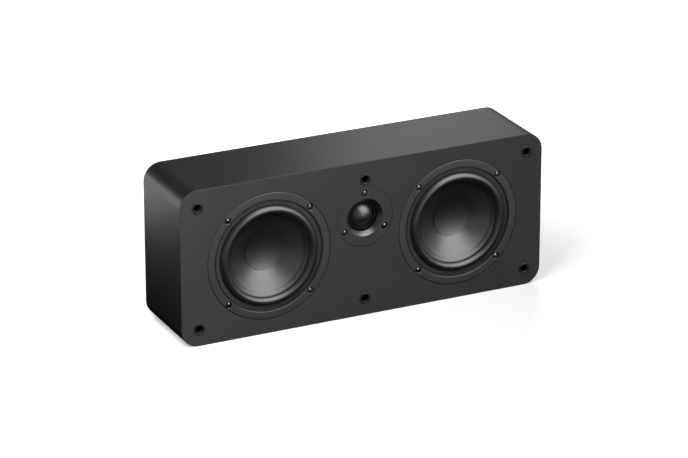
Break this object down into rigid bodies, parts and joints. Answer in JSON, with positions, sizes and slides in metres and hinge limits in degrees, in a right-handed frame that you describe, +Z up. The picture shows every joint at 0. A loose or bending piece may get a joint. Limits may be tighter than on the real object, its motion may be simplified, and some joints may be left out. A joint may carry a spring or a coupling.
{
  "type": "wall speaker",
  "caption": "Sealed wall speaker standing on its long side: woofers either side of a dome tweeter in a rounded black cabinet, with grille sockets, rear terminals and keyhole hangers.",
  "frame": {"origin": "centre of the underside of the cabinet, on the surface that it stands on", "axes": "+X to the right as seen from the front, along the length; +Y into the depth, from the front face to the wall; +Z up"},
  "size_m": [0.4334, 0.101, 0.178],
  "materials": {
    "wrap_vinyl": "black vinyl wrap, fine brushed grain along the length",
    "baffle_paint": "matt charcoal lacquer on the front baffle",
    "rear_board": "black vinyl on board",
    "bare_board": "raw fibreboard",
    "wadding": "polyester wadding",
    "socket_rubber": "black rubber",
    "faceplate_plastic": "satin black moulding",
    "dome_cloth": "coated black cloth",
    "copper": "enamelled copper",
    "plated_steel": "zinc plate",
    "ferrite": "sintered ferrite",
    "brass": "bare brass",
    "gilt_brass": "gilt brass",
    "black_screw": "black plated steel",
    "cup_plastic": "black moulding",
    "red_plastic": "red moulding",
    "black_plastic": "black moulding",
    "circuit_board": "green circuit board",
    "capacitor_film": "yellow film",
    "ceramic": "white ceramic",
    "wire_sleeve": "red and grey sleeve",
    "basket_paint": "matt black powder coat",
    "seal_foam": "closed-cell foam",
    "gasket_trim": "satin black ring",
    "surround_rubber": "butyl rubber",
    "cone_poly": "satin black polypropylene",
    "cap_poly": "satin black polypropylene",
    "spider_cloth": "treated cotton"
  },
  "bodies": {
    "cabinet": {"cabinet_wrap": "wrap_vinyl", "front_baffle": "baffle_paint", "rear_panel": "rear_board", "brace_left": "bare_board", "brace_right": "bare_board", "wadding_left": "wadding", "wadding_right": "wadding", "grille_sockets": "socket_rubber", "tweeter_faceplate": "faceplate_plastic", "tweeter_surround": "dome_cloth", "tweeter_top_plate": "plated_steel", "tweeter_magnet": "ferrite", "tweeter_back_plate": "plated_steel", "tweeter_rear_cup": "faceplate_plastic", "tweeter_terminals": "brass", "woofer_screws": "black_screw", "tweeter_screws": "black_screw", "terminal_cup": "cup_plastic", "cup_screws": "plated_steel", "binding_post_red": "gilt_brass", "binding_post_black": "gilt_brass", "lock_nuts": "plated_steel", "hangers": "plated_steel", "hanger_screws": "plated_steel", "crossover_board": "circuit_board", "inductors": "copper", "capacitors": "capacitor_film", "resistors": "ceramic", "board_fixings": "plated_steel", "wiring": "wire_sleeve", "woofer_left_basket": "basket_paint", "woofer_left_seal": "seal_foam", "woofer_left_gasket": "gasket_trim", "woofer_left_surround": "surround_rubber", "woofer_left_spider": "spider_cloth", "woofer_left_top_plate": "plated_steel", "woofer_left_magnet": "ferrite", "woofer_left_back_plate": "plated_steel", "woofer_left_terminals": "brass", "woofer_left_leads": "copper", "woofer_right_basket": "basket_paint", "woofer_right_seal": "seal_foam", "woofer_right_gasket": "gasket_trim", "woofer_right_surround": "surround_rubber", "woofer_right_spider": "spider_cloth", "woofer_right_top_plate": "plated_steel", "woofer_right_magnet": "ferrite", "woofer_right_back_plate": "plated_steel", "woofer_right_terminals": "brass", "woofer_right_leads": "copper"},
    "tweeter_diaphragm": {"tweeter_dome": "dome_cloth", "tweeter_voice_coil": "copper"},
    "red_nut": {"thumb_nut_red": "red_plastic"},
    "black_nut": {"thumb_nut_black": "black_plastic"},
    "woofer_left_diaphragm": {"woofer_left_cone": "cone_poly", "woofer_left_dust_cap": "cap_poly", "woofer_left_voice_coil": "copper"},
    "woofer_right_diaphragm": {"woofer_right_cone": "cone_poly", "woofer_right_dust_cap": "cap_poly", "woofer_right_voice_coil": "copper"}
  },
  "joints": [
    {"name": "woofer_left_stroke", "type": "slide", "parent": "cabinet", "child": "woofer_left_diaphragm", "axis": [0, 1, 0], "range_m": [-0.004, 0.004], "stiffness_N_per_m": 900, "deforming": ["woofer_left_surround", "woofer_left_spider", "woofer_left_leads"]},
    {"name": "woofer_right_stroke", "type": "slide", "parent": "cabinet", "child": "woofer_right_diaphragm", "axis": [0, 1, 0], "range_m": [-0.004, 0.004], "stiffness_N_per_m": 900, "deforming": ["woofer_right_surround", "woofer_right_spider", "woofer_right_leads"]},
    {"name": "tweeter_stroke", "type": "slide", "parent": "cabinet", "child": "tweeter_diaphragm", "axis": [0, 1, 0], "range_m": [-0.0003, 0.0003], "stiffness_N_per_m": 700, "deforming": ["tweeter_surround"]},
    {"name": "red_nut_travel", "type": "slide", "parent": "cabinet", "child": "red_nut", "axis": [0, 1, 0], "range_m": [0, 0.004]},
    {"name": "black_nut_travel", "type": "slide", "parent": "cabinet", "child": "black_nut", "axis": [0, 1, 0], "range_m": [0, 0.004]}
  ]
}
